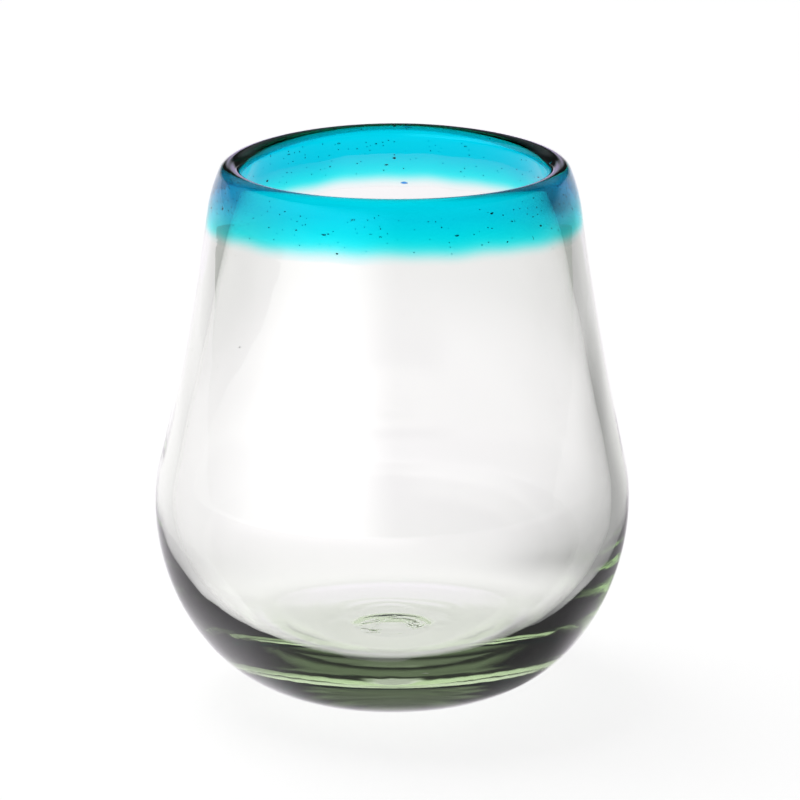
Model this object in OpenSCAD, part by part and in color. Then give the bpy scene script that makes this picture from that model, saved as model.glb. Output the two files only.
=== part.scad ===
// Hand-blown stemless wine glass of clear recycled glass with a coloured lip.
// Every shell is a turned outline of tangent arcs, so each size below moves the whole wall with it.
// The origin is the middle of the flat foot, +Z is the axis of the glass.

/* [Bowl] */
// Height of the glass from the table to the crest of the lip
glass_h = 108; // [102:0.5:110]
// Diameter of the bowl at its widest, the belly
belly_d = 94.6; // [93:0.2:99]
// Height of the belly above the table
belly_z = 39.3; // [38.5:0.1:40.1]
// Radius of the outside curve below the belly
lower_curve_r = 45.2; // [44:0.1:47]
// Radius of the outside curve above the belly
upper_curve_r = 33; // [26:0.5:40]
// Lean of the wall towards the axis just above the belly, in degrees
wall_lean = 12.9; // [12:0.1:14]
// Lean of the wall towards the axis just below the lip, in degrees
neck_lean = 8; // [7:0.1:9]

/* [Glass thickness] */
// Thickness of the wall at the belly
belly_wall = 3.5; // [3:0.1:4]
// Thickness of the solid glass in the middle of the base
base_t = 12; // [11.4:0.1:12.6]
// Radius of the inside curve below the belly
inner_curve_r = 31.5; // [30.5:0.1:32.5]
// Radius of the flat middle of the inside floor
floor_r = 24; // [22.5:0.1:25.5]

/* [Lip] */
// Distance from the axis to the crest of the lip
crest_r = 32.5; // [30:0.1:33.2]
// Radius of the rounded lip
lip_round = 2.35; // [1.8:0.05:3]
// Distance below the crest where the lip starts to swell out of the wall
lip_h = 10; // [8:0.5:12]
// Depth of the colour below the crest, where its thin edge ends on the outside of the wall
colour_depth = 12.4; // [11.8:0.1:13]
// Height over which the colour thickens from that edge to the whole wall
feather_h = 5.6; // [5:0.1:6.5]

/* [Foot and pontil] */
// Radius of the flat foot
foot_r = 13.4; // [12:0.1:14.4]
// Radius of the hollow in the middle of the foot
hollow_r = 8.6; // [8:0.1:10]
// Depth of that hollow
hollow_h = 1; // [0.9:0.1:1.4]
// Outside radius of the ring of glass that the pontil rod left
pontil_r = 6.5; // [5:0.1:7]
// Radius of that ring's section
pontil_bead = 0.5; // [0.4:0.05:0.6]

/* [Colour grains] */
// Number of undissolved colour grains in the lip
grain_count = 48; // [8:1:60]
// Radius of the smallest grain
grain_r = 0.18; // [0.12:0.01:0.25]

/* [Hidden] */

// Turned faces are true surfaces, and arcs are drawn in steps of this many degrees
arc_step = 3;
$fn = 96;

belly_r = belly_d / 2;

// Points of an arc about the point c, from angle a to angle b, without its last point
function arc(c, r, a, b) =
    let (n = max(2, ceil(abs(b - a) / arc_step)))
    [for (i = [0 : n - 1]) let (t = a + (b - a) * i / n) c + r * [cos(t), sin(t)]];

// Unit vector at an angle
function unit(t) = [cos(t), sin(t)];

// Radius of the heel arc from a flat, h below the belly, to the curve of radius r whose centre is dx inside it
function heel_radius(r, h, dx) = (r * r - dx * dx - h * h) / (2 * (r - h));

// Angle of the vector from p to q
function heading(p, q) = atan2(q[1] - p[1], q[0] - p[0]);

// Fraction of a number past its whole part
function frac(x) = x - floor(x);

// Outside of the bowl: foot, heel, belly and wall
lower_c = [belly_r - lower_curve_r, belly_z];
heel_r = heel_radius(lower_curve_r, belly_z, foot_r - lower_c[0]);
heel_c = [foot_r, heel_r];
heel_end = heading(lower_c, heel_c);
upper_c = [belly_r - upper_curve_r, belly_z];

// The wall is one long hollow arc, from its lean above the belly to its lean below the lip
wall_low = upper_c + upper_curve_r * unit(wall_lean);
wall_rise = glass_h - lip_h - wall_low[1];
wall_curve_r = wall_rise / (sin(wall_lean) - sin(neck_lean));
wall_c = wall_low + wall_curve_r * unit(wall_lean);
wall_top = wall_c - wall_curve_r * unit(neck_lean);

// Outside of the lip: a long shoulder that runs into the rounded crest
crest_c = [crest_r, glass_h - lip_round];
reach = wall_top - crest_c;
shoulder_r = (reach * reach - lip_round * lip_round) / (2 * (reach * unit(neck_lean) - lip_round));
shoulder_c = wall_top - shoulder_r * unit(neck_lean);
shoulder_end = heading(shoulder_c, crest_c);

// Inside of the bowl: floor, heel, belly, and a straight wall that meets the lip
cavity_r = belly_r - belly_wall;
cavity_low_c = [cavity_r - inner_curve_r, belly_z];
cavity_heel_r = heel_radius(inner_curve_r, belly_z - base_t, floor_r - cavity_low_c[0]);
cavity_heel_c = [floor_r, base_t + cavity_heel_r];
cavity_heel_end = heading(cavity_low_c, cavity_heel_c);
cavity_upper_r = upper_curve_r - belly_wall;
centre_line = crest_c - upper_c;
cavity_lean = asin((cavity_upper_r + lip_round) / norm(centre_line)) - (90 - heading(upper_c, crest_c));

// The slanting seam between the clear wall and the coloured lip starts at this height on the outside
seam_z = glass_h - colour_depth;

// Radius of the straight inside wall at a height
function cavity_wall_r(z) =
    let (p = upper_c + cavity_upper_r * unit(cavity_lean)) p[0] - (z - p[1]) * tan(cavity_lean);

// Radius of the outside of the lip's shoulder, or of the wall below it, at a height
function outside_r(z) =
    z > wall_top[1]
    ? shoulder_c[0] + sqrt(shoulder_r * shoulder_r - pow(z - shoulder_c[1], 2))
    : wall_c[0] - sqrt(wall_curve_r * wall_curve_r - pow(z - wall_c[1], 2));

// Outline of everything inside the outer surface
module outside_outline() {
    polygon(concat(
        [[0, 0]],
        arc(heel_c, heel_r, -90, heel_end),
        arc(lower_c, lower_curve_r, heel_end, 0),
        arc(upper_c, upper_curve_r, 0, wall_lean),
        arc(wall_c, wall_curve_r, wall_lean + 180, neck_lean + 180),
        arc(shoulder_c, shoulder_r, neck_lean, shoulder_end),
        arc(crest_c, lip_round, shoulder_end, 90),
        [[crest_r, glass_h], [0, glass_h]]
    ));
}

// Outline of the space inside the glass, open at the top
module cavity_outline() {
    over = 1;
    polygon(concat(
        [[0, base_t]],
        arc(cavity_heel_c, cavity_heel_r, -90, cavity_heel_end),
        arc(cavity_low_c, inner_curve_r, cavity_heel_end, 0),
        arc(upper_c, cavity_upper_r, 0, cavity_lean),
        [upper_c + cavity_upper_r * unit(cavity_lean)],
        arc(crest_c, lip_round, 180 + cavity_lean, 90),
        [[crest_r, glass_h], [crest_r, glass_h + over], [0, glass_h + over]]
    ));
}

// Ends of the seam, on the outside and the inside of the wall
seam_low = [outside_r(seam_z), seam_z];
seam_high = [cavity_wall_r(seam_z + feather_h), seam_z + feather_h];

// Outline of all that lies above the seam, wider than the glass on both sides
module above_seam_outline() {
    past = 4;
    along = (seam_high - seam_low) / norm(seam_high - seam_low);
    outer = seam_low - past * along;
    inner = seam_high + past * along;
    polygon([inner, outer, [outer[0], glass_h + past], [inner[0], glass_h + past]]);
}

// Thickness of the colour at a height
function colour_t(z) =
    outside_r(z) - max(cavity_wall_r(z), seam_low[0] + (z - seam_z) * (seam_high[0] - seam_low[0]) / feather_h);

// Grains differ in size by up to this much
grain_spread = 0.16;
size_stride = 0.382;
function grain_size(i) = grain_r + grain_spread * frac(i * size_stride);

// Places of the colour grains: strewn round the lip, at changing heights and depths in the colour
grain_top = 3.2;
grain_low = 0.4;
grain_skin = 0.12;
turn_stride = 0.8192;
height_stride = 0.671;
depth_stride = 0.5497;
grain_band = colour_depth - grain_low * feather_h - grain_top;
function grain_place(i) =
    let (
        z = glass_h - grain_top - grain_band * frac(i * height_stride),
        edge = grain_size(i) + grain_skin,
        r = outside_r(z) - edge - (colour_t(z) - 2 * edge) * frac(i * depth_stride),
        turn = 360 * frac(i * turn_stride)
    )
    [r * cos(turn), r * sin(turn), z];

// One bright blue grain sits in the back of the wall, level with the thin edge of the colour
blue_r = 0.4;
blue_side = 1.8;
blue_depth = 1;
blue_rise = 0.4;
blue_z = seam_z + blue_rise;
blue_place = [blue_side, cavity_wall_r(blue_z) + blue_depth, blue_z];

// The grains as one group of separate balls
module grain_balls() {
    for (i = [0 : grain_count - 1]) translate(grain_place(i)) sphere(grain_size(i));
}

module blue_ball() {
    translate(blue_place) sphere(blue_r);
}

// Middle of the pontil ring's section, up in the hollow of the foot
pontil_drop = 0.35;
pontil_c = [pontil_r - pontil_bead, hollow_h - pontil_drop];

// Hollow in the middle of the foot: a shallow cap of a ball
hollow_ball_r = (hollow_r * hollow_r + hollow_h * hollow_h) / (2 * hollow_h);

module hollow() {
    translate([0, 0, hollow_h - hollow_ball_r]) sphere(hollow_ball_r);
}

// The ring that the pontil rod left, with a sunken middle where it snapped off
module pontil_section() {
    translate(pontil_c) circle(pontil_bead);
}

// Clear glass, blown in one piece: thick base, belly and wall, thinning out inside the coloured lip
module clear_bowl() {
    color([0.86, 0.91, 0.87, 0.4]) difference() {
        rotate_extrude() difference() {
            outside_outline();
            cavity_outline();
            above_seam_outline();
        }
        hollow();
        rotate_extrude() pontil_section();
        blue_ball();
    }
}

// Coloured glass of the lip, fused round the outside of the clear wall and feathered out downwards
module colour_lip() {
    color([0.0, 0.72, 0.86, 0.6]) difference() {
        rotate_extrude() difference() {
            intersection() {
                outside_outline();
                above_seam_outline();
            }
            cavity_outline();
        }
        grain_balls();
        blue_ball();
    }
}

// Ring of glass in the hollow of the foot, where the pontil rod held the glass
module pontil_ring() {
    color([0.80, 0.88, 0.82, 0.4]) rotate_extrude() pontil_section();
}

// Undissolved dark grains of colour inside the lip
module colour_grains() {
    color([0.02, 0.22, 0.28]) grain_balls();
}

// The one bright blue grain
module blue_grain() {
    color([0.05, 0.25, 0.85]) blue_ball();
}

clear_bowl();
colour_lip();
pontil_ring();
colour_grains();
blue_grain();
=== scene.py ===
import math
import random

import bmesh
import bpy
from mathutils import Matrix, Vector, noise


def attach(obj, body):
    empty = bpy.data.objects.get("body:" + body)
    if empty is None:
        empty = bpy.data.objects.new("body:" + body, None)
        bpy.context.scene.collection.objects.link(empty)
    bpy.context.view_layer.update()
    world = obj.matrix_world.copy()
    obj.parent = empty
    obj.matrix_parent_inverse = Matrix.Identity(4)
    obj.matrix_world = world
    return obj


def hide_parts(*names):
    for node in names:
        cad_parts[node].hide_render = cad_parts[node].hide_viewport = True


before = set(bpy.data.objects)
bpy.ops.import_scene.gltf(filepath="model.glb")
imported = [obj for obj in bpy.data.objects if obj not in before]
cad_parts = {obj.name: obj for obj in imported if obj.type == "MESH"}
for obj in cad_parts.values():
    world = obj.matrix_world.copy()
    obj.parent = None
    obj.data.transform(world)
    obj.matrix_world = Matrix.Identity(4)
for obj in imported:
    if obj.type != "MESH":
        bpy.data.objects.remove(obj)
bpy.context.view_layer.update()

# Clear bowl
# One gather of recycled soda-lime glass, blown and turned on the iron: a thick base, a round belly and a wall
# that leans in towards the mouth. It is smooth from the fire, and nowhere quite even.

MM = 0.001
GLASS_HEIGHT = 108.0
BELLY_RADIUS = 47.3
BELLY_HEIGHT = 39.3
LOWER_CURVE = 45.2
UPPER_CURVE = 33.0
WALL_LEAN = 12.9
NECK_LEAN = 8.0
FOOT_RADIUS = 13.4
HOLLOW_RADIUS = 8.6
HOLLOW_DEPTH = 1.0
BELLY_WALL = 3.5
BASE_THICKNESS = 12.0
INNER_CURVE = 31.5
FLOOR_RADIUS = 24.0
CREST_RADIUS = 32.5
LIP_ROUND = 2.35
LIP_HEIGHT = 10.0

# The colour's edge round the wall, and how it thickens upwards from there
COLOUR_DEPTH = 13.0
COLOUR_SWAY = ((1, 0.5852, 2.7928), (2, 0.559, -1.1071))
COLOUR_STREAKS = ((7, 0.12, 1.9708), (13, 0.1, 2.5708), (23, 0.08, 1.5708))
FEATHER_TURN = 3.0
FEATHER_SLOPE = 0.95
FEATHER_POWER = 2.5

# What the hand leaves: a bowl out of round, a mouth that drifted to one side, an uneven rim and small ripples
OUT_OF_ROUND = 0.35
ROUND_WAVE = 45.0
MOUTH_DRIFT = 0.6
RIM_WAVES = ((1, 0.2, 0.0), (2, 0.3, -1.5708))
RIM_DROP = 0.05
RIPPLE = 0.012
RIPPLE_WAVE = 8.0
FOLD_DEPTH = 0.035
FOLD_HEIGHT = 24.0
FOLD_WAY = Vector((1.0, -0.6))
FLOOR_RIPPLE = 0.015
SEED_COUNT = 16
SEED_SIZES = (0.07, 0.15)
SEED_HEIGHTS = (50.0, 92.0)
SEED_STRETCH = (1.0, 2.2)
SEED_SHARES = (0.3, 0.7)
SEED_ROUGH = 0.15

# Refractive index of soda-lime glass, and how strongly a metre of this glass swallows light
GLASS_BEND = 1.5
CLEAR_DENSITY = 14.0

TURNS = 288
SEAM_STEPS = 24
SEAM_FIT = 0.01
SHARP_EDGE = 25.0


def spoke(degrees):
    """Unit vector at an angle in the plane of the outline, where x is the radius and y the height."""
    return Vector((math.cos(math.radians(degrees)), math.sin(math.radians(degrees))))


def heading(start, end):
    return math.degrees(math.atan2(end.y - start.y, end.x - start.x))


def arc(centre, radius, start, end, count):
    """Points of an arc, without the last one."""
    return [centre + radius * spoke(start + (end - start) * i / count) for i in range(count)]


def straight(start, end, count):
    """Points of a straight run, without the last one."""
    return [start.lerp(end, i / count) for i in range(count)]


def heel_radius(curve, depth, offset):
    """Radius of the heel that runs from a flat, depth below the belly, into the belly's lower curve."""
    return (curve ** 2 - offset ** 2 - depth ** 2) / (2 * (curve - depth))


lower_centre = Vector((BELLY_RADIUS - LOWER_CURVE, BELLY_HEIGHT))
heel = heel_radius(LOWER_CURVE, BELLY_HEIGHT, FOOT_RADIUS - lower_centre.x)
heel_centre = Vector((FOOT_RADIUS, heel))
heel_end = heading(lower_centre, heel_centre)
upper_centre = Vector((BELLY_RADIUS - UPPER_CURVE, BELLY_HEIGHT))
wall_low = upper_centre + UPPER_CURVE * spoke(WALL_LEAN)
wall_rise = GLASS_HEIGHT - LIP_HEIGHT - wall_low.y
wall_curve = wall_rise / (math.sin(math.radians(WALL_LEAN)) - math.sin(math.radians(NECK_LEAN)))
wall_centre = wall_low + wall_curve * spoke(WALL_LEAN)
wall_top = wall_centre - wall_curve * spoke(NECK_LEAN)
crest_centre = Vector((CREST_RADIUS, GLASS_HEIGHT - LIP_ROUND))
reach = wall_top - crest_centre
shoulder = (reach.length_squared - LIP_ROUND ** 2) / (2 * (reach.dot(spoke(NECK_LEAN)) - LIP_ROUND))
shoulder_centre = wall_top - shoulder * spoke(NECK_LEAN)
shoulder_end = heading(shoulder_centre, crest_centre)
hollow_ball = (HOLLOW_RADIUS ** 2 + HOLLOW_DEPTH ** 2) / (2 * HOLLOW_DEPTH)
hollow_centre = Vector((0.0, HOLLOW_DEPTH - hollow_ball))
hollow_edge = 90 - math.degrees(math.asin(HOLLOW_RADIUS / hollow_ball))

cavity_low_centre = Vector((BELLY_RADIUS - BELLY_WALL - INNER_CURVE, BELLY_HEIGHT))
cavity_heel = heel_radius(INNER_CURVE, BELLY_HEIGHT - BASE_THICKNESS, FLOOR_RADIUS - cavity_low_centre.x)
cavity_heel_centre = Vector((FLOOR_RADIUS, BASE_THICKNESS + cavity_heel))
cavity_heel_end = heading(cavity_low_centre, cavity_heel_centre)
cavity_upper = UPPER_CURVE - BELLY_WALL
crest_line = crest_centre - upper_centre
crest_swing = math.degrees(math.asin((cavity_upper + LIP_ROUND) / crest_line.length))
cavity_lean = crest_swing - (90 - heading(upper_centre, crest_centre))
cavity_top = upper_centre + cavity_upper * spoke(cavity_lean)


def wall_outside(z):
    """Radius of the outside of the wall, or of the lip's shoulder above it, at a height."""
    if z > wall_top.y:
        return shoulder_centre.x + math.sqrt(shoulder ** 2 - (z - shoulder_centre.y) ** 2)
    return wall_centre.x - math.sqrt(wall_curve ** 2 - (z - wall_centre.y) ** 2)


def wall_inside(z):
    """Radius of the straight inside wall at a height."""
    return cavity_top.x - (z - cavity_top.y) * math.tan(math.radians(cavity_lean))


def sway(turn, waves):
    """Sum of waves round the glass: how many there are in a turn, their depth and their start."""
    return sum(depth * math.sin(count * turn + start) for count, depth, start in waves)


def colour_edge(turn):
    """Height where the colour begins on the outside of the wall."""
    return GLASS_HEIGHT - COLOUR_DEPTH + sway(turn, COLOUR_SWAY + COLOUR_STREAKS)


def feather(rise):
    """Thickness of the colour this far above its edge: thin as a feather first, then on an even slant."""
    if rise < FEATHER_TURN:
        return FEATHER_SLOPE * FEATHER_TURN / FEATHER_POWER * (rise / FEATHER_TURN) ** FEATHER_POWER
    return FEATHER_SLOPE * (FEATHER_TURN / FEATHER_POWER + rise - FEATHER_TURN)


def seam_points(turn):
    """Points of the seam, from the edge of the colour outside to where it reaches the inside of the wall."""
    low = colour_edge(turn)
    length = FEATHER_TURN
    while feather(length) < wall_outside(low + length) - wall_inside(low + length):
        length += SEAM_FIT
    rises = [length * i / SEAM_STEPS for i in range(SEAM_STEPS)]
    points = [Vector((wall_outside(low + rise) - feather(rise), low + rise)) for rise in rises]
    return points + [Vector((wall_inside(low + length), low + length))]


def hand_made(point, turn):
    """Moves a point of the outline as blowing and turning by hand leaves it: out of round by a little."""
    around = Vector((math.cos(turn), math.sin(turn), 0.0))
    bulge = OUT_OF_ROUND * noise.noise(around * 1.3 + Vector((0, 0, point.y / ROUND_WAVE)))
    bulge += RIPPLE * noise.noise(around * 7 + Vector((0, 0, point.y / RIPPLE_WAVE)))
    rise = max(0.0, point.y - BELLY_HEIGHT) / (GLASS_HEIGHT - BELLY_HEIGHT)
    rim = rise ** 6 * (sway(turn, RIM_WAVES) - RIM_DROP)
    place = around * (point.x + bulge * min(1.0, point.x / 20)) + Vector((MOUTH_DRIFT * rise, 0.0, 0.0))
    return (place.x * MM, place.y * MM, (point.y + rim) * MM)


def put(name, data):
    """An object with these data, in the scene."""
    made = bpy.data.objects.new(name, data)
    bpy.context.scene.collection.objects.link(made)
    return made


def lathe(name, outline, closed, seam_start=None):
    """A turned mesh of outline(turn), a list of (radius, height) points, with its faces outwards.

    The faces of the seam, from its first point on, are marked as fused to the glass beside them.
    """
    turns = [2 * math.pi * k / TURNS for k in range(TURNS)]
    columns = [outline(turn) for turn in turns]
    verts = []
    rings = []
    for i, first in enumerate(columns[0]):
        if first.x < 1e-6:
            rings.append([len(verts)] * TURNS)
            verts.append((0.0, 0.0, first.y * MM))
            continue
        rings.append([len(verts) + k for k in range(TURNS)])
        verts += [hand_made(columns[k][i], turns[k]) for k in range(TURNS)]
    faces = []
    uppers = rings[1:] + rings[:1] if closed else rings[1:]
    for low, high in zip(rings, uppers):
        for k in range(TURNS):
            n = (k + 1) % TURNS
            faces.append(list(dict.fromkeys((low[k], low[n], high[n], high[k]))))
    mesh = bpy.data.meshes.new(name)
    mesh.from_pydata(verts, [], faces)
    mesh.shade_smooth()
    mesh.set_sharp_from_angle(angle=math.radians(SHARP_EDGE))
    if seam_start is not None:
        fused = mesh.attributes.new("fused", "FLOAT", "FACE")
        for i in range(seam_start * TURNS, (seam_start + SEAM_STEPS) * TURNS):
            fused.data[i].value = 1.0
    return put(name, mesh)


def tool_marks(points, turn):
    """The inside of the heel is not quite smooth: faint folds where the glass chilled on the wet block."""
    marked = []
    for i, point in enumerate(points):
        depth = FOLD_DEPTH * math.sin(math.pi * i / len(points)) ** 0.5
        around = Vector((math.cos(turn), math.sin(turn), point.y / FOLD_HEIGHT))
        marked.append(point + FOLD_WAY * depth * noise.noise(around * 15))
    return marked


def bowl_outline(turn):
    seam = seam_points(turn)
    wall = [wall_low.y + (seam[0].y - wall_low.y) * i / 50 for i in range(50)]
    points = [Vector((0.0, HOLLOW_DEPTH))]
    points += arc(hollow_centre, hollow_ball, 90, hollow_edge, 16)[1:]
    points += straight(Vector((HOLLOW_RADIUS, 0.0)), Vector((FOOT_RADIUS, 0.0)), 4)
    points += arc(heel_centre, heel, -90, heel_end, 48)
    points += arc(lower_centre, LOWER_CURVE, heel_end, 0, 40)
    points += arc(upper_centre, UPPER_CURVE, 0, WALL_LEAN, 10)
    points += [Vector((wall_outside(z), z)) for z in wall]
    points += seam
    points += straight(seam[-1], cavity_top, 50)[1:]
    points += arc(upper_centre, cavity_upper, cavity_lean, 0, 10)
    points += arc(cavity_low_centre, INNER_CURVE, 0, cavity_heel_end, 30)
    points += tool_marks(arc(cavity_heel_centre, cavity_heel, cavity_heel_end, -90, 50), turn)
    for point in straight(Vector((FLOOR_RADIUS, BASE_THICKNESS)), Vector((0.0, BASE_THICKNESS)), 60):
        around = Vector((math.cos(turn), math.sin(turn), 0.0)) * point.x
        wave = math.sin(point.x * 1.5 + 3 * noise.noise(around / 9))
        fade = math.sin(math.pi * point.x / FLOOR_RADIUS)
        points.append(point + Vector((0.0, FLOOR_RIPPLE * wave * fade)))
    points += [Vector((0.0, BASE_THICKNESS))]
    return points


def linear(hex_colour):
    """A colour written as sRGB hex, in linear light."""
    parts = [int(hex_colour[i:i + 2], 16) / 255 for i in (1, 3, 5)]
    return [c / 12.92 if c <= 0.04045 else ((c + 0.055) / 1.055) ** 2.4 for c in parts] + [1.0]


def add_node(tree, kind, inputs, **settings):
    """Adds a node with its settings, and gives its inputs, by name or number, a value or a link."""
    node = tree.nodes.new(kind)
    for key, value in settings.items():
        setattr(node, key, value)
    for key, value in inputs.items():
        if isinstance(value, bpy.types.NodeSocket):
            tree.links.new(value, node.inputs[key])
        else:
            node.inputs[key].default_value = value
    return node


def bare_material(name):
    material = bpy.data.materials.new(name)
    material.use_nodes = True
    material.node_tree.nodes.clear()
    return material


def blown_glass(name, tint, density, sheen, fused):
    """Fire-polished glass: a mirror-smooth skin, with all its colour in its depth, so thick glass is darker.

    Where it is fused to other glass there is no skin, so light goes straight on there.
    """
    material = bare_material(name)
    tree = material.node_tree
    bend = GLASS_BEND
    if fused:
        seam = add_node(tree, "ShaderNodeAttribute", {}, attribute_name="fused")
        skinned = {"Value": seam.outputs["Fac"], "To Min": GLASS_BEND, "To Max": 1.0}
        bend = add_node(tree, "ShaderNodeMapRange", skinned).outputs["Result"]
    skin = add_node(tree, "ShaderNodeBsdfPrincipled", {
        "Base Color": linear("#FFFFFF"), "Roughness": 0.0, "IOR": bend,
        "Transmission Weight": 1.0, "Specular Tint": linear(sheen)})
    depth = add_node(tree, "ShaderNodeVolumeAbsorption", {"Color": linear(tint), "Density": density})
    add_node(tree, "ShaderNodeOutputMaterial", {
        "Surface": skin.outputs["BSDF"], "Volume": depth.outputs["Volume"]})
    return material


def add_blobs(piece, blobs, rough, inward):
    """Adds small uneven lumps to a mesh: (place, three half axes, turn about Z), all in mm."""
    work = bmesh.new()
    work.from_mesh(piece.data)
    for place, axes, turn in blobs:
        made = bmesh.ops.create_icosphere(work, subdivisions=2, radius=1.0)["verts"]
        shift = Vector((random.uniform(0, 90), random.uniform(0, 90), random.uniform(0, 90)))
        spin = Matrix.Rotation(turn, 3, "Z")
        for vert in made:
            swell = 1 + rough * noise.noise(vert.co * 1.4 + shift)
            vert.co = (Vector(place) + spin @ Vector([a * c * swell for a, c in zip(axes, vert.co)])) * MM
        faces = {face for vert in made for face in vert.link_faces}
        for face in faces:
            face.smooth = True
        if inward:
            bmesh.ops.reverse_faces(work, faces=list(faces))
    work.to_mesh(piece.data)
    work.free()


def in_wall(turn, z, share):
    """Place in the wall at a turn and a height, a share of the way from its inside to its outside."""
    radius = wall_inside(z) + share * (wall_outside(z) - wall_inside(z))
    return Vector(hand_made(Vector((radius, z)), turn)) / MM


def air_seeds(piece, count, sizes, heights, stretch):
    """Bubbles of air shut in the glass, drawn out round it by the turning."""
    seeds = []
    for i in range(count):
        turn = random.uniform(0, 2 * math.pi)
        size = random.uniform(*sizes)
        place = in_wall(turn, random.uniform(*heights), random.uniform(*SEED_SHARES))
        seeds.append((place, (size, size * random.uniform(*stretch), size), turn))
    add_blobs(piece, seeds, SEED_ROUGH, inward=True)


random.seed(11)
seam_start = bowl_outline(0.0).index(seam_points(0.0)[0])
bowl = lathe("clear_bowl_glass", bowl_outline, closed=False, seam_start=seam_start)
air_seeds(bowl, SEED_COUNT, SEED_SIZES, SEED_HEIGHTS, SEED_STRETCH)
# Recycled glass holds a little iron: clear where it is thin, bottle green in the thick base
bottle_glass = blown_glass("recycled_soda_lime_glass", "#B1D879", CLEAR_DENSITY, "#FFFFFF", fused=True)
bowl.data.materials.append(bottle_glass)
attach(bowl, "root")
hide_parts("clear_bowl")

# Coloured lip
# Blue-green glass fused round the top of the wall while hot, feathered out down the outside, and melted in
# the fire into a fat round lip. Its seam sinks a hair into the clear glass, so no gap shows.

SEAM_SINK = 0.05
SKIRT_PROUD = 0.012
SKIRT_STEPS = 40
LIP_SEED_COUNT = 26
LIP_SEED_SIZES = (0.08, 0.2)
LIP_SEED_HEIGHTS = (GLASS_HEIGHT - 3.0, GLASS_HEIGHT - 8.0)
LIP_SEED_STRETCH = (1.2, 3.2)
AQUA_DENSITY = 2400.0


def lip_outline(turn):
    seam = seam_points(turn)
    along = seam[-1] - seam[0]
    sunk = Vector((-along.y, along.x)).normalized() * SEAM_SINK
    seam = [point + sunk * min(1.0, 0.2 + i / 5, (SEAM_STEPS - i) / 2) for i, point in enumerate(seam)]
    edge = colour_edge(turn)
    top = crest_centre + LIP_ROUND * spoke(180 + cavity_lean)
    shoulder_high = shoulder_centre.y + shoulder * math.sin(math.radians(shoulder_end))
    points = seam[::-1]
    for i in range(SKIRT_STEPS):
        z = edge + (shoulder_high - edge) * i / SKIRT_STEPS
        points.append(Vector((wall_outside(z) + SKIRT_PROUD * (1 - i / SKIRT_STEPS), z)))
    points += arc(crest_centre, LIP_ROUND, shoulder_end, 180 + cavity_lean, 40)
    points += straight(top, seam[-1], 20)
    return points


lip = lathe("colour_lip_glass", lip_outline, closed=True, seam_start=0)
air_seeds(lip, LIP_SEED_COUNT, LIP_SEED_SIZES, LIP_SEED_HEIGHTS, LIP_SEED_STRETCH)
# Glass coloured with copper: it swallows red within a millimetre, and its skin shines in its own colour
aqua_glass = blown_glass("aqua_lip_glass", "#00FBFD", AQUA_DENSITY, "#3FE7FF", fused=True)
lip.data.materials.append(aqua_glass)
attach(lip, "root")
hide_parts("colour_lip")

# Pontil ring
# Scrap of glass left in the hollow of the foot where the rod that held the hot glass was snapped off. It is
# a broken ring with torn hooks and crumples, softened by the fire and fused to the base.

PONTIL_INSIDE = 2.6
PONTIL_OUTSIDE = 7.9
PONTIL_SINK = 0.04
PONTIL_STEPS = 60
RING_RADIUS = 5.5
RING_WAVES = ((1, 0.35, 1.0), (3, 0.25, 0.0), (7, 0.15, 0.5))
RING_HANG = 0.16
RING_BREAKS = ((2, 0.12, 0.4), (5, 0.12, 2.0))
RING_WIDTH = 0.6
# Each hook's left and right end, the line that it lies on, the slope of that line, and its height
HOOKS = ((-6.6, -2.4, -1.9, -0.35, 0.42), (-5.6, -3.0, -4.3, -0.2, 0.38), (-6.2, -3.2, 1.6, 0.5, 0.3))
HOOK_WIDTH = 0.3
HOOK_TEAR = 0.12
CRUMPLE_PLACE = (4.3, 0.6)
CRUMPLE_SPREAD = (1.4, 2.6)
CRUMPLE_HANG = 0.55
ROUGH_HANG = 0.1
LEAST_CLEAR = 0.03


def hollow_height(radius):
    return hollow_centre.y + math.sqrt(hollow_ball ** 2 - radius ** 2)


def swirl(radius, turn):
    """How far the scrap hangs below the hollow: a broken ring, hooks on the left, crumples on the right."""
    across = radius * math.cos(turn)
    deep = radius * math.sin(turn)
    ring = RING_RADIUS + sway(turn, RING_WAVES)
    hang = max(0.0, RING_HANG + sway(turn, RING_BREAKS)) * math.exp(-((radius - ring) / RING_WIDTH) ** 2)
    for left, right, line, slope, height in HOOKS:
        ends = 1 / (1 + math.exp((left - across) / HOOK_TEAR)) / (1 + math.exp((across - right) / HOOK_WIDTH))
        hang += height * ends * math.exp(-((deep - line - slope * (across - left)) / HOOK_WIDTH) ** 2)
    aside = (across - CRUMPLE_PLACE[0]) / CRUMPLE_SPREAD[0]
    behind = (deep - CRUMPLE_PLACE[1]) / CRUMPLE_SPREAD[1]
    crumple = abs(noise.noise(Vector((across * 1.1, deep * 0.8, 0.3))))
    hang += CRUMPLE_HANG * math.exp(-aside ** 2 - behind ** 2) * crumple
    hang += ROUGH_HANG * max(0.0, noise.noise(Vector((across, deep, 0.9))))
    share = (radius - PONTIL_INSIDE) / (PONTIL_OUTSIDE - PONTIL_INSIDE)
    return min(hang * min(1.0, 6 * share, 6 * (1 - share)), hollow_height(radius) - LEAST_CLEAR)


def pontil_outline(turn):
    width = PONTIL_OUTSIDE - PONTIL_INSIDE
    radii = [PONTIL_INSIDE + width * i / PONTIL_STEPS for i in range(PONTIL_STEPS + 1)]
    under = [Vector((r, hollow_height(r) - swirl(r, turn))) for r in radii]
    sunk = [Vector((r, hollow_height(r) + PONTIL_SINK)) for r in radii]
    return under + sunk[::-1]


pontil = lathe("pontil_ring_glass", pontil_outline, closed=True)
# The same green glass as the base, with a skin all over
scrap_glass = blown_glass("pontil_scrap_glass", "#B1D879", CLEAR_DENSITY, "#FFFFFF", fused=False)
pontil.data.materials.append(scrap_glass)
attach(pontil, "root")
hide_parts("pontil_ring")

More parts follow.
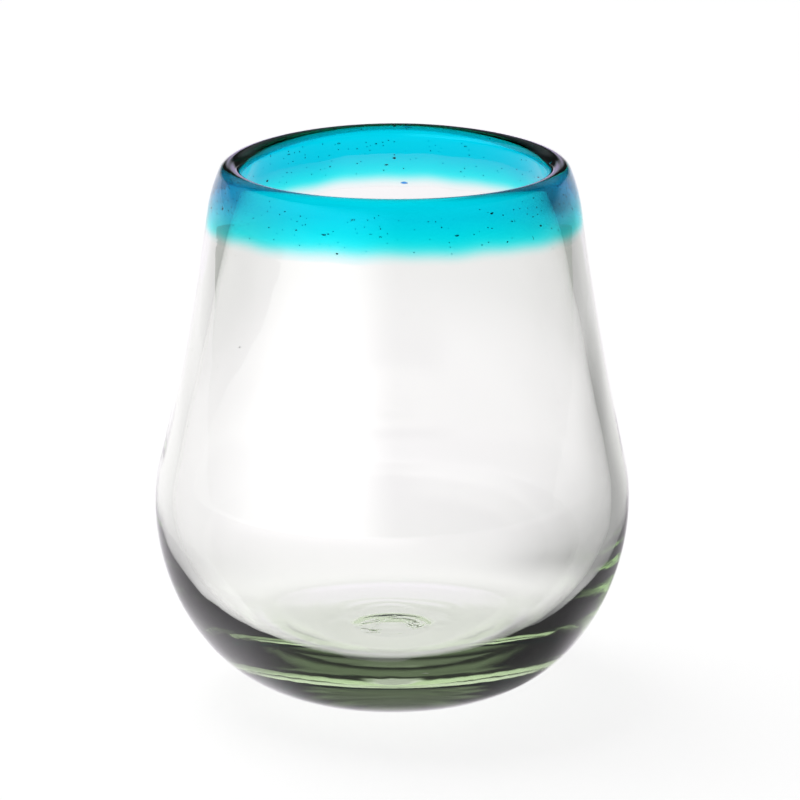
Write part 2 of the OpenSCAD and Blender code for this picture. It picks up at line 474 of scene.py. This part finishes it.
# Colour grains
# Crumbs of colour that did not melt when the lip was made: dark, sharp, and strewn all through the blue-green
# glass, with dust of the same between them.

GRAIN_COUNT = 40
GRAIN_LEAST = 0.12
GRAIN_SPREAD = 0.12
DUST_COUNT = 210
DUST_SIZES = (0.07, 0.13)
GRAIN_DEPTHS = (2.8, 10.2)
GRAIN_SHARES = (0.15, 0.85)
GRAIN_ROUGH = 0.9
GRAIN_MOTTLE = 0.4


def in_colour(turn, z, share):
    """Place in the coloured glass, a share of the way from its outside to the seam."""
    wall = wall_outside(z) - wall_inside(z)
    depth = min(wall, feather(max(0.5, z - colour_edge(turn))))
    return in_wall(turn, z, 1 - share * depth / wall)


def undissolved(name, dark, light, mottle, finish):
    """Colour that did not melt: unevenly mixed, so it is mottled, over this many mm, between two shades."""
    material = bare_material(name)
    tree = material.node_tree
    place = add_node(tree, "ShaderNodeTexCoord", {})
    grit = add_node(tree, "ShaderNodeTexNoise", {
        "Vector": place.outputs["Object"], "Scale": 1 / (mottle * MM)})
    shade = add_node(tree, "ShaderNodeValToRGB", {"Fac": grit.outputs["Fac"]})
    shade.color_ramp.elements[0].color = linear(dark)
    shade.color_ramp.elements[1].color = linear(light)
    crumb = add_node(tree, "ShaderNodeBsdfPrincipled", {"Base Color": shade.outputs["Color"], **finish})
    add_node(tree, "ShaderNodeOutputMaterial", {"Surface": crumb.outputs["BSDF"]})
    return material


grains = put("colour_grains_crumbs", bpy.data.meshes.new("colour_grains_crumbs"))
crumbs = []
for i in range(GRAIN_COUNT + DUST_COUNT):
    turn = random.uniform(0, 2 * math.pi)
    if i < GRAIN_COUNT:
        size = GRAIN_LEAST + GRAIN_SPREAD * random.random() ** 3
    else:
        size = random.uniform(*DUST_SIZES)
    height = GLASS_HEIGHT - random.uniform(*GRAIN_DEPTHS)
    place = in_colour(turn, height, random.uniform(*GRAIN_SHARES))
    crumbs.append((place, (size, size * random.uniform(0.8, 1.8), size * random.uniform(0.6, 1.0)), turn))
add_blobs(grains, crumbs, GRAIN_ROUGH, inward=False)
# Copper colour in the lump is nearly black, and dull where it broke
copper = undissolved("undissolved_copper_colour", "#04222B", "#0A4655", GRAIN_MOTTLE, {"Roughness": 0.6})
grains.data.materials.append(copper)
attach(grains, "root")
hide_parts("colour_grains")

# Blue grain
# One stray crumb of cobalt colour, half melted into the wall at the edge of the aqua. The turning of the
# glass drew it out sideways.

BLUE_SIDE = 1.8
BLUE_RISE = 1.0
BLUE_SHARE = 0.22
BLUE_AXES = (0.2, 0.75, 0.24)
BLUE_ROUGH = 0.5
BLUE_MOTTLE = 0.55

blue = put("blue_grain_crumb", bpy.data.meshes.new("blue_grain_crumb"))
blue_height = GLASS_HEIGHT - COLOUR_DEPTH + BLUE_RISE
blue_turn = math.pi / 2 - BLUE_SIDE / wall_inside(blue_height)
blue_place = in_wall(blue_turn, blue_height, BLUE_SHARE)
add_blobs(blue, [(blue_place, BLUE_AXES, blue_turn)], BLUE_ROUGH, inward=False)
# Half-melted cobalt colour lets light through. Its IOR is the one against the glass round it, so just over 1.
cobalt = undissolved("undissolved_cobalt_colour", "#2A86E0", "#5AAEF6", BLUE_MOTTLE,
                     {"Roughness": 0.3, "IOR": 1.06, "Transmission Weight": 1.0})
blue.data.materials.append(cobalt)
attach(blue, "root")
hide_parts("blue_grain")

# Floor
# A sheet of white paper under the glass, running far back. The camera sees it plain. Through the glass it
# shows a painted glow instead, set by the direction and the distance from the glass: painted light and
# painted shade, with a painted shadow of the glass, in place of the studio's light on the paper.

FLOOR_HALF = 6.0
FLOOR_GAP = 0.0002
PAPER_SEEN = 0.86

# Painted glow right under the glass, and a painted shadow of the glass in front and to the right
PAINTED_GLOW_NEAR = 0.973
PAINTED_SHADOW = 0.259
SHADOW_WAY = (0.4, -0.917, 0.0)
SHADOW_TURN = (0.0, 0.7)
SHADOW_EDGE = (0.021, 0.028)
NEAR_EDGE = (0.045, 0.075)

# Painted glow further off: painted light behind, painted shade on the right side, and a gentle painted dip
# half a metre away
PAINTED_LIGHT_BEHIND = 1.025
PAINTED_LIGHT_DIM = 0.652
BRIGHT_WAY = (-0.17, 0.985, 0.0)
BRIGHT_TURN = (0.6, 1.15)
PAINTED_SHADE_RIGHT = 0.383
SHADE_WAY = (0.966, 0.259, 0.0)
SHADE_TURN = (0.5, 0.95)
SHADE_REACH = (0.6, 1.6)
SHADE_FAR = 0.2
PAINTED_LIGHT_DIP = 0.083
DIP_START = (0.3, 0.5)
DIP_END = (0.55, 1.1)

# Painted light on the paper in front of the light box, at the front left
PAINTED_BOX_LIGHT = 1.553
BOX_WAY = (-0.616, -0.788, 0.0)
BOX_TURN = (0.5, 0.9)
BOX_REACH = (0.1, 0.8)

corners = [(-1, -1), (1, -1), (1, 1), (-1, 1)]
floor_mesh = bpy.data.meshes.new("floor")
floor_mesh.from_pydata([(x * FLOOR_HALF, y * FLOOR_HALF, -FLOOR_GAP) for x, y in corners], [], [(0, 1, 2, 3)])
floor = put("floor", floor_mesh)
paper = bare_material("white_paper_with_painted_glow")
tree = paper.node_tree
place = add_node(tree, "ShaderNodeTexCoord", {}).outputs["Object"]
distance = add_node(tree, "ShaderNodeVectorMath", {0: place}, operation="LENGTH").outputs["Value"]
outwards = add_node(tree, "ShaderNodeVectorMath", {0: place}, operation="NORMALIZE").outputs["Vector"]


def soft_step(value, span, low, high):
    """Settings of a light level that goes softly from low to high while a value goes through a span."""
    return {"Value": value, "From Min": span[0], "From Max": span[1], "To Min": low, "To Max": high}


def by_distance(span, low, high):
    """Light level by the distance from the glass, in metres."""
    step = soft_step(distance, span, low, high)
    return add_node(tree, "ShaderNodeMapRange", step, interpolation_type="SMOOTHSTEP").outputs["Result"]


def by_direction(way, span, low, high):
    """Light level by where a place lies from the glass: 1 is straight that way and 0 is beside it."""
    facing = add_node(tree, "ShaderNodeVectorMath", {0: outwards, 1: way}, operation="DOT_PRODUCT")
    step = soft_step(facing.outputs["Value"], span, low, high)
    return add_node(tree, "ShaderNodeMapRange", step, interpolation_type="SMOOTHSTEP").outputs["Result"]


def add_up(tree, lights):
    """Light that adds up from several sources, each the product of its levels."""
    total = 0.0
    for levels in lights:
        light = levels[0]
        for level in levels[1:]:
            product = add_node(tree, "ShaderNodeMath", {0: light, 1: level}, operation="MULTIPLY")
            light = product.outputs["Value"]
        total = add_node(tree, "ShaderNodeMath", {0: total, 1: light}, operation="ADD").outputs["Value"]
    return total


# Painted light behind, painted shade on the right and a painted dip, in the paper's glow further off
far_painted_glow = add_up(tree, [
    [by_direction(BRIGHT_WAY, BRIGHT_TURN, PAINTED_LIGHT_DIM, PAINTED_LIGHT_BEHIND)],
    [by_direction(SHADE_WAY, SHADE_TURN, 0.0, -PAINTED_SHADE_RIGHT), by_distance(SHADE_REACH, 1.0, SHADE_FAR)],
    [by_distance(DIP_START, 0.0, -PAINTED_LIGHT_DIP), by_distance(DIP_END, 1.0, 0.0)],
])
# Painted light in front of the light box, mixed into the painted glow further off
painted_box_mask = add_up(tree, [[by_direction(BOX_WAY, BOX_TURN, 0.0, 1.0), by_distance(BOX_REACH, 0.0, 1.0)]])
far_painted_glow = add_node(tree, "ShaderNodeMix", {"Factor": painted_box_mask, "A": far_painted_glow, "B": PAINTED_BOX_LIGHT}).outputs["Result"]
# Painted shadow of the glass, in front and to the right, darkening the painted glow
painted_shadow_mask = add_up(tree, [
    [by_direction(SHADOW_WAY, SHADOW_TURN, 0.0, 1.0), by_distance(SHADOW_EDGE, 0.0, 1.0)],
])
painted_glow = PAINTED_GLOW_NEAR
for share, level in [(painted_shadow_mask, PAINTED_SHADOW), (by_distance(NEAR_EDGE, 0.0, 1.0), far_painted_glow)]:
    painted_glow = add_node(tree, "ShaderNodeMix", {"Factor": share, "A": painted_glow, "B": level}).outputs["Result"]
rays = add_node(tree, "ShaderNodeLightPath", {})
# Every ray but the camera's sees the painted glow, a hair of magenta in its white; the camera sees plain
# white
painted_glow_emission = add_node(tree, "ShaderNodeEmission", {"Color": linear("#FDF8FF"), "Strength": painted_glow})
plain = add_node(tree, "ShaderNodeEmission", {"Color": linear("#FFFFFF"), "Strength": PAPER_SEEN})
shown = add_node(tree, "ShaderNodeMixShader", {
    0: rays.outputs["Is Camera Ray"], 1: painted_glow_emission.outputs["Emission"], 2: plain.outputs["Emission"]})
matt = add_node(tree, "ShaderNodeBsdfDiffuse", {"Color": linear("#E7E7E7")})
both = add_node(tree, "ShaderNodeAddShader", {0: matt.outputs["BSDF"], 1: shown.outputs["Shader"]})
add_node(tree, "ShaderNodeOutputMaterial", {"Surface": both.outputs["Shader"]})
floor_mesh.materials.append(paper)

# Light
# A dim room with a grey back wall and one narrow window, a light box at the front left, and a soft light
# overhead. The camera sees plain white. The front of the room is lighter in mirror reflections only.

ROOM = 0.03
BACK_WALL = 0.25
BACK_WALL_SIDES = (29, 51)
BACK_WALL_FOOT = (17, 26)
BACK_WALL_TOP = (30, 48)
CEILING_SHARE = 0.5
WINDOW = 1.1
WINDOW_SIDES = (4, 11)
WINDOW_TOP = (11, 16)
HORIZON = 0.5
HORIZON_SIDES = (45, 80)
HORIZON_TOP = (2, 6)
HORIZON_SHARE = 0.1
LOW_BOX = 1.4
BOX_TOP = (7, 14)
BOX_RIGHT = (-184, -152)
BOX_LEFT = (-130, -90)
MIRRORED_TOP = (24, 32)
MIRRORED_FRONT = 0.45
MIRRORED_SIDES = (15, 110)
MIRRORED_BOX = 2.2
MIRRORED_BOX_LEFT = (-125, -45)
OVERHEAD_PLACE = Vector((-0.5, 0.4, 1.6))
OVERHEAD_AIM = Vector((0.0, 0.0, 0.05))
OVERHEAD_SIZE = 1.0
OVERHEAD_RADIANCE = 1.6

world = bpy.data.worlds.new("studio")
world.use_nodes = True
tree = world.node_tree
tree.nodes.clear()
place = add_node(tree, "ShaderNodeTexCoord", {})
parts = add_node(tree, "ShaderNodeSeparateXYZ", {"Vector": place.outputs["Generated"]}).outputs
level_parts = {0: parts["X"], 1: parts["Y"]}
bearing = add_node(tree, "ShaderNodeMath", level_parts, operation="ARCTAN2").outputs["Value"]
aside = add_node(tree, "ShaderNodeMath", {0: bearing}, operation="ABSOLUTE").outputs["Value"]


def by_height(span, low, high):
    """Light level by the elevation, in degrees."""
    step = soft_step(parts["Z"], [math.sin(math.radians(angle)) for angle in span], low, high)
    return add_node(tree, "ShaderNodeMapRange", step, interpolation_type="SMOOTHSTEP").outputs["Result"]


def by_bearing(angle, span, low, high):
    """Light level by the bearing from straight behind, in degrees, or by how far aside that is."""
    step = soft_step(angle, [math.radians(turn) for turn in span], low, high)
    return add_node(tree, "ShaderNodeMapRange", step, interpolation_type="SMOOTHSTEP").outputs["Result"]


rays = add_node(tree, "ShaderNodeLightPath", {}).outputs
glossy = {0: rays["Is Glossy Ray"], 1: rays["Is Transmission Ray"]}
mirrored = add_node(tree, "ShaderNodeMath", glossy, operation="SUBTRACT").outputs["Value"]
window = add_up(tree, [[by_height(WINDOW_TOP, 1.0, 0.0), by_bearing(aside, WINDOW_SIDES, 1.0, 0.0)]])
box_right = by_bearing(bearing, BOX_RIGHT, 0.0, 1.0)
mirrored_low = add_up(tree, [[mirrored, by_height(MIRRORED_TOP, 1.0, 0.0)]])
room_light = add_up(tree, [
    [by_bearing(aside, BACK_WALL_SIDES, 1.0, ROOM), by_height(BACK_WALL_FOOT, ROOM, BACK_WALL),
     by_height(BACK_WALL_TOP, 1.0, CEILING_SHARE)],
    [window, WINDOW],
    [by_height(HORIZON_TOP, HORIZON, 0.0), by_bearing(aside, HORIZON_SIDES, 1.0, HORIZON_SHARE)],
    [by_height(BOX_TOP, LOW_BOX, 0.0), box_right, by_bearing(bearing, BOX_LEFT, 1.0, 0.0)],
    [mirrored_low, by_bearing(aside, MIRRORED_SIDES, 0.0, MIRRORED_FRONT)],
    [mirrored_low, box_right, by_bearing(bearing, MIRRORED_BOX_LEFT, MIRRORED_BOX, 0.0)],
])
# A colour mix has its colours on inputs 6 and 7, and its result on output 2
lilac = {0: window, 6: linear("#FFFFFF"), 7: linear("#EBD7FF")}
tinted = add_node(tree, "ShaderNodeMix", lilac, data_type="RGBA").outputs[2]
room = add_node(tree, "ShaderNodeBackground", {"Color": tinted, "Strength": room_light})
plain = add_node(tree, "ShaderNodeBackground", {"Color": linear("#FFFFFF"), "Strength": 1.0})
shown = add_node(tree, "ShaderNodeMixShader", {
    0: rays["Is Camera Ray"], 1: room.outputs["Background"], 2: plain.outputs["Background"]})
add_node(tree, "ShaderNodeOutputWorld", {"Surface": shown.outputs["Shader"]})
bpy.context.scene.world = world

lamp = bpy.data.lights.new("overhead_softbox", "AREA")
lamp.shape = "RECTANGLE"
lamp.size = OVERHEAD_SIZE
lamp.size_y = OVERHEAD_SIZE
lamp.energy = OVERHEAD_RADIANCE * math.pi * OVERHEAD_SIZE ** 2
overhead = put("overhead_softbox", lamp)
overhead.location = OVERHEAD_PLACE
overhead.rotation_euler = (OVERHEAD_AIM - OVERHEAD_PLACE).to_track_quat("-Z", "Y").to_euler()
overhead.visible_camera = False
overhead.visible_glossy = False
overhead.visible_transmission = False

# Camera
# A long lens that looks down on the glass at a slant. The middle of the glass lies left of the middle of the
# picture and below it, by so many pixels of a picture of this width.

CAMERA_DISTANCE = 1.277
CAMERA_ELEVATION = 15.25
LENS = 288.4
SENSOR = 36.0
PICTURE_WIDTH = 800
MIDDLE_LEFT = 7.5
MIDDLE_LOW = 26

middle = Vector((0, 0, GLASS_HEIGHT / 2 * MM))
tilt = math.radians(CAMERA_ELEVATION)
back = Vector((0, -math.cos(tilt), math.sin(tilt)))
up = Vector((0, math.sin(tilt), math.cos(tilt)))
pixel = CAMERA_DISTANCE * SENSOR / LENS / PICTURE_WIDTH
aim = middle + Vector((1, 0, 0)) * MIDDLE_LEFT * pixel + up * MIDDLE_LOW * pixel
view = bpy.data.cameras.new("camera")
view.lens = LENS
view.sensor_width = SENSOR
view.clip_start = 0.01
view.clip_end = 50
camera = put("camera", view)
camera.location = middle + back * CAMERA_DISTANCE
camera.rotation_euler = (aim - camera.location).to_track_quat("-Z", "Y").to_euler()
bpy.context.scene.camera = camera
bpy.context.scene.view_settings.view_transform = "Standard"

# Light runs a long way inside a thick base, so it may turn many times before it is lost.
cycles = bpy.context.scene.cycles
cycles.max_bounces = 40
cycles.glossy_bounces = 32
cycles.transmission_bounces = 40
